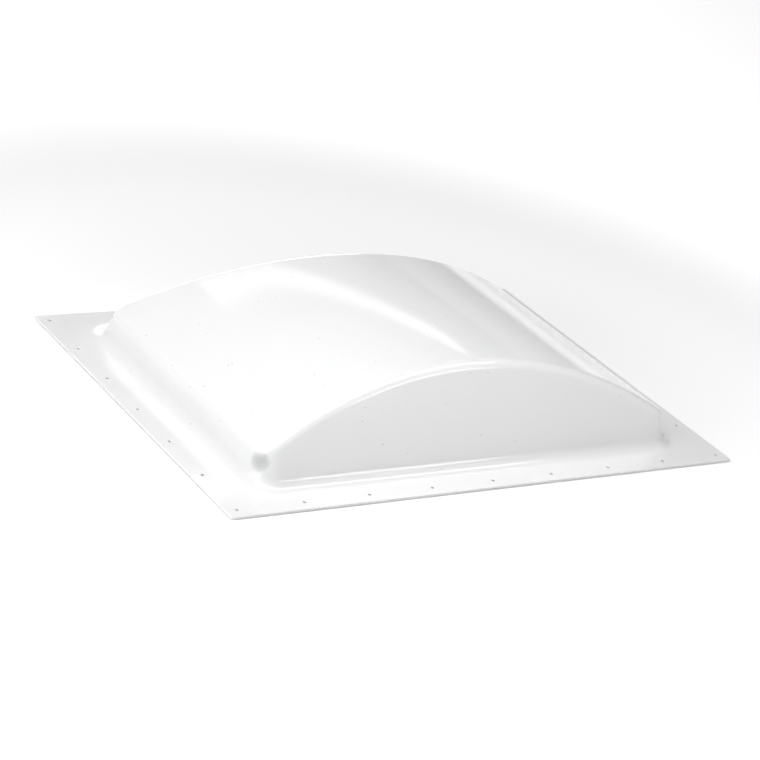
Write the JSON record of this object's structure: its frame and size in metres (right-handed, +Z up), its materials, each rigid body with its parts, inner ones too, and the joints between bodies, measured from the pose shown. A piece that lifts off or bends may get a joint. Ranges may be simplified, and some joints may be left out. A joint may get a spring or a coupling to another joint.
{
  "type": "roof vent cover",
  "caption": "Fixed roof opening cover for a caravan: arched white plastic dome with leaning ends and a wide drilled flange on punched sealing strips.",
  "frame": {"origin": "centre of the opening on the roof plane, which is the underside of the sealing strips", "axes": "+X along the long side, +Y along the short side, towards the rear, +Z up, out of the roof"},
  "size_m": [0.6478, 0.4444, 0.1053],
  "materials": {
    "dome_plastic": "glossy white thermoformed sheet, slightly translucent, a little dusty",
    "sealing_strip": "soft pale grey butyl, matt, slightly squeezed"
  },
  "bodies": {
    "root": {"outer_dome": "dome_plastic", "front_seal_strip": "sealing_strip", "rear_seal_strip": "sealing_strip", "left_seal_strip": "sealing_strip", "right_seal_strip": "sealing_strip"}
  },
  "joints": []
}
